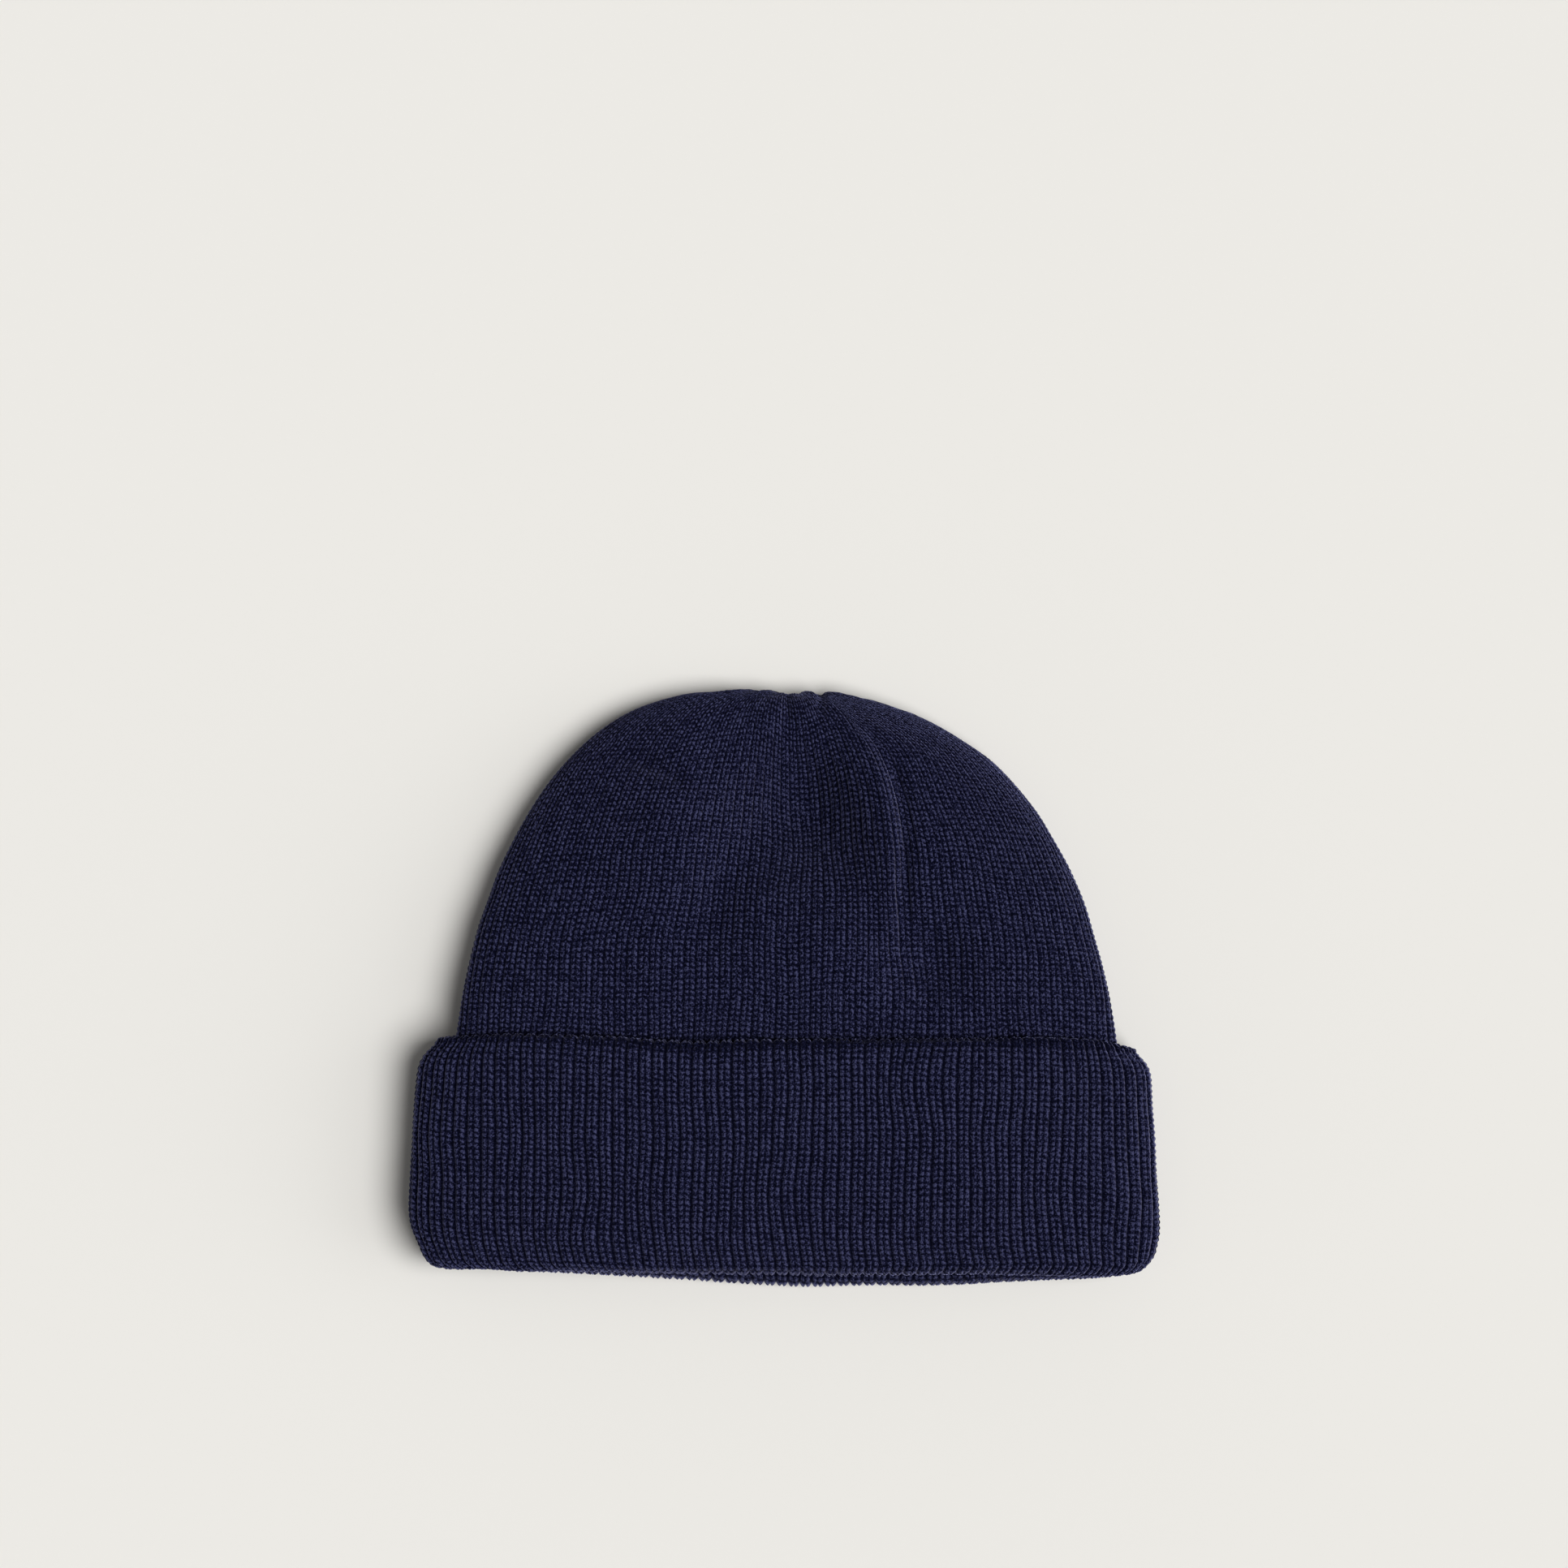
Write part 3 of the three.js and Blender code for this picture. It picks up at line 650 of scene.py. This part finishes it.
def rib_shares(lengths, climb, ribs):
    """Where each rib lies along each row's loop, with ribs drawn into the dart."""
    t = np.linspace(0, 1, RIB_SAMPLES)
    out = np.empty((len(lengths), len(ribs)))
    at = DART_RIB / RIBS
    for i in range(len(lengths)):
        eaten = DART_RIBS_EATEN * ease(climb[i], DART_EATS_FROM, 1.0)
        width = DART_SEAM_HALF_WIDTH / max(lengths[i, -1], SHORTEST_LOOP)
        step = ease(t, at - width, at + width)
        fade = np.clip(1 - (t - at) / (0.5 - at), 0, 1)
        out[i] = np.interp(np.mod(ribs, RIBS), RIBS * t + eaten * step * fade, t)
    return out


def crown_rows():
    """The climbs of the rows, at equal steps up the front's middle."""
    climb = np.linspace(0, 1, CLIMB_SAMPLES)
    middle = dome_point(np.full(CLIMB_SAMPLES, math.pi / 2), climb, 0)
    steps = np.linalg.norm(np.diff(middle, axis=0), axis=1)
    length = np.concatenate([[0], np.cumsum(steps)])
    low = slice(CLIMB_SAMPLES_LOW)
    start = np.interp(CROWN_FROM_Y, middle[low, 1], length[low])
    count = int((length[-1] - start) / COURSE * ROWS_A_COURSE)
    targets = np.linspace(start, length[-1] - GATHER_HOLE, count)
    return np.interp(targets, length, climb)


def crown_surface(climbs, ribs, inset):
    """Points and normals of the crown's skin over rows of climbs and columns of ribs."""
    column = climbs[:, None]
    loops, lengths = dense_loops(
        lambda angle: dome_point(angle, np.broadcast_to(column, angle.shape), inset), len(climbs)
    )
    shares = rib_shares(lengths, climbs, ribs)
    grid = at_shares(loops, lengths, shares)
    normal = grid_normals(grid)
    relief = crown_relief(grid, normal, np.broadcast_to(column, shares.shape), shares)
    grid = grid + normal * relief[..., None]
    return grid, grid_normals(grid)


def ribs_with_margin(low, high, samples):
    """Rib coordinates of a piece's columns, and a few more past each side for its slopes."""
    count = (high - low) * samples
    ribs = low + (np.arange(count + 2 * MARGIN + 1) - MARGIN) / samples
    return ribs, slice(MARGIN, MARGIN + count + 1)


def crown_outside():
    climbs = crown_rows()
    for name, low, high, samples, mid_groove in CROWN_SHEETS:
        columns, keep = ribs_with_margin(low, high, samples)
        grid, normal = crown_surface(climbs, columns, 0)
        course = lengths_up(grid) / COURSE + FIRST_COURSE
        ribs = np.broadcast_to(columns, course.shape)
        course = drifting(ribs, course, CROWN_LOOK)
        look = CROWN_LOOK | {"mid_groove": mid_groove}
        grid = knit_grid(grid, normal, ribs, course, look)
        facing = grid_normals(grid)[:, keep]
        uv = np.stack([ribs, course], -1)
        add_mesh(name, grid[:, keep], facing, uv[:, keep], "crown", crown_knit)


def crown_inside():
    columns = np.linspace(0, RIBS, RIBS * INSIDE_SAMPLES + 1)
    tube = np.linspace(0, 1, INSIDE_TUBE_ROWS)[:-1, None]
    loops, lengths = dense_loops(
        lambda angle: tube_point(angle, np.broadcast_to(tube, angle.shape), FABRIC), len(tube)
    )
    shares = np.broadcast_to((columns / RIBS) % 1, (len(tube), len(columns)))
    low = at_shares(loops, lengths, shares)
    high, _ = crown_surface(np.linspace(0, INSIDE_TOP, INSIDE_DOME_ROWS), columns, FABRIC)
    grid = np.concatenate([low, high])
    normal = grid_normals(grid)
    course = lengths_up(grid) / COURSE + FIRST_COURSE
    ribs = np.broadcast_to(columns, course.shape)
    height = knit_relief(ribs + 0.5, course, 0, INSIDE_LOOP)
    pitch = np.linalg.norm(np.gradient(grid, axis=1), axis=2) * INSIDE_SAMPLES
    swell = np.clip(pitch / FULL_PITCH, CROWDED_LEAST, 1)
    grid = grid - normal * ((INSIDE_RELIEF * height - INSIDE_LEVEL) * swell)[..., None]
    uv = np.stack([ribs + 0.5, course], -1)
    add_mesh("crown_inside", grid, -grid_normals(grid), uv, "crown", crown_knit, flip=True)


def cuff_rows():
    """Share, depth and reach past the fold for each row, from inside the free edge to the hem."""
    rows = []
    step = CUFF_COURSE / ROWS_A_COURSE
    for share in np.linspace(INNER_SHARE, 0, INNER_ROWS)[:-1]:
        rows.append((share, FABRIC, 0))
    half = FABRIC / 2
    edge = int(math.pi * half / step) + 2
    for turn in np.linspace(0, math.pi, edge + 1)[:-1]:
        rows.append((0, half + half * math.cos(turn), -half * math.sin(turn)))
    outer = int(FACE_LENGTH / step)
    for share in np.linspace(0, 1, outer + 1)[:-1]:
        rows.append((share, 0, 0))
    bend = int(math.pi * FOLD / 2 / step)
    for turn in np.linspace(0, math.pi, bend + 1)[:-1]:
        rows.append((1, FOLD / 2 * (1 - math.cos(turn)), FOLD / 2 * math.sin(turn)))
    for up in np.linspace(0, HEM + GAP, HEM_ROWS):
        rows.append((1, FOLD, -up))
    return np.array(rows, float)


def cuff_angles(columns):
    """The angle at which each rib stands, at equal steps round the middle of the cuff's face."""
    _, lengths = dense_loops(lambda angle: cuff_point(angle, CUFF_FACE_SHARE, 0, 0), 1)
    target = np.mod(columns, RIBS) / RIBS * lengths[0, -1]
    step = np.interp(target, lengths[0], np.arange(LOOP_SAMPLES + 1))
    return math.pi / 2 - 2 * math.pi * step / LOOP_SAMPLES


def cuff_sheets():
    rows = cuff_rows()
    share, depth, past = (rows[:, k][:, None] for k in range(3))
    for name, low, high, samples in CUFF_SHEETS:
        columns, keep = ribs_with_margin(low, high, samples)
        angle = np.broadcast_to(cuff_angles(columns), (len(rows), len(columns)))
        grid = cuff_point(angle, share, depth, past)
        normal = -grid_normals(grid)
        course = CUFF_COURSES - lengths_up(grid) / CUFF_COURSE
        ribs = np.broadcast_to(columns, course.shape)
        course = drifting(ribs, course, CUFF_LOOK)
        grid = knit_grid(grid, normal, ribs, course, CUFF_LOOK)
        facing = -grid_normals(grid)[:, keep]
        uv = np.stack([ribs, course], -1)
        add_mesh(name, grid[:, keep], facing, uv[:, keep], "cuff", cuff_knit, flip=True)


crown_outside()
crown_inside()
cuff_sheets()

# The floor, the light and the camera
FLOOR_SIZE = 40
FLOOR_COLOUR = (0.80, 0.785, 0.75, 1)
floor_material = bpy.data.materials.new("floor_pale")
floor_material.use_nodes = True
floor_surface = floor_material.node_tree.nodes["Principled BSDF"].inputs
floor_surface["Base Color"].default_value = FLOOR_COLOUR
floor_surface["Roughness"].default_value = 0.9
floor_surface["Specular IOR Level"].default_value = 0.0
bpy.ops.mesh.primitive_plane_add(size=FLOOR_SIZE, location=(0, 0, 0))
floor = bpy.context.object
floor.name = "floor"
floor.data.materials.append(floor_material)

# A pale wall stands all round at the horizon, and the ceiling over it is dim
WORLD_COLOUR = (1.0, 0.99, 0.97, 1)
WALL_TOP, CEILING_FROM = 0.10, 0.40
WALL_STRENGTH, CEILING_STRENGTH = 0.80, 0.13
world = bpy.data.worlds.new("studio")
bpy.context.scene.world = world
world.use_nodes = True
world_nodes, world_links = world.node_tree.nodes, world.node_tree.links
backdrop = world_nodes["Background"]
backdrop.inputs["Color"].default_value = WORLD_COLOUR
direction = world_nodes.new("ShaderNodeTexCoord")
height = world_nodes.new("ShaderNodeSeparateXYZ")
world_links.new(direction.outputs["Generated"], height.inputs[0])
brightness = world_nodes.new("ShaderNodeMapRange")
brightness.interpolation_type = "SMOOTHSTEP"
fade = (WALL_TOP, CEILING_FROM, WALL_STRENGTH, CEILING_STRENGTH)
for socket, value in zip(brightness.inputs[1:], fade):
    socket.default_value = value
world_links.new(height.outputs[2], brightness.inputs[0])
world_links.new(brightness.outputs[0], backdrop.inputs["Strength"])

# A large softbox high on the right and a weak one low beside it
SOFTBOXES = (
    # name, elevation, azimuth, strength, size
    ("softbox_high", 61, -18, 2.76, 40),
    ("softbox_low", 20, -4, 1.00, 44),
)
for name, elevation, azimuth, strength, size in SOFTBOXES:
    softbox = bpy.data.lights.new(name, "SUN")
    softbox.energy = strength
    softbox.angle = math.radians(size)
    softbox_object = bpy.data.objects.new(name, softbox)
    bpy.context.scene.collection.objects.link(softbox_object)
    rise, turn = math.radians(elevation), math.radians(azimuth)
    towards = Vector((
        math.cos(rise) * math.cos(turn),
        math.cos(rise) * math.sin(turn),
        math.sin(rise),
    ))
    softbox_object.rotation_euler = towards.to_track_quat("Z", "Y").to_euler()

# The photograph's frame: its size, what one pixel of it measures, and where the origin lies in it
PHOTO_SIZE = 1932
PHOTO_MM = 0.249
ORIGIN_PX = (965, 1217.5)
# The camera's distance in metres from the height at which one pixel measures just that
CAMERA_DISTANCE = 2.6
TRUE_SCALE_HEIGHT = 0.014
SENSOR_WIDTH = 36
camera = bpy.data.cameras.new("camera")
camera_object = bpy.data.objects.new("camera", camera)
bpy.context.scene.collection.objects.link(camera_object)
bpy.context.scene.camera = camera_object
camera.sensor_width = SENSOR_WIDTH
camera.lens = camera.sensor_width * CAMERA_DISTANCE / (PHOTO_SIZE * PHOTO_MM * MM)
camera_object.location = (
    (PHOTO_SIZE / 2 - ORIGIN_PX[0]) * PHOTO_MM * MM,
    (ORIGIN_PX[1] - PHOTO_SIZE / 2) * PHOTO_MM * MM,
    CAMERA_DISTANCE + TRUE_SCALE_HEIGHT,
)

bpy.context.scene.view_settings.view_transform = "Standard"
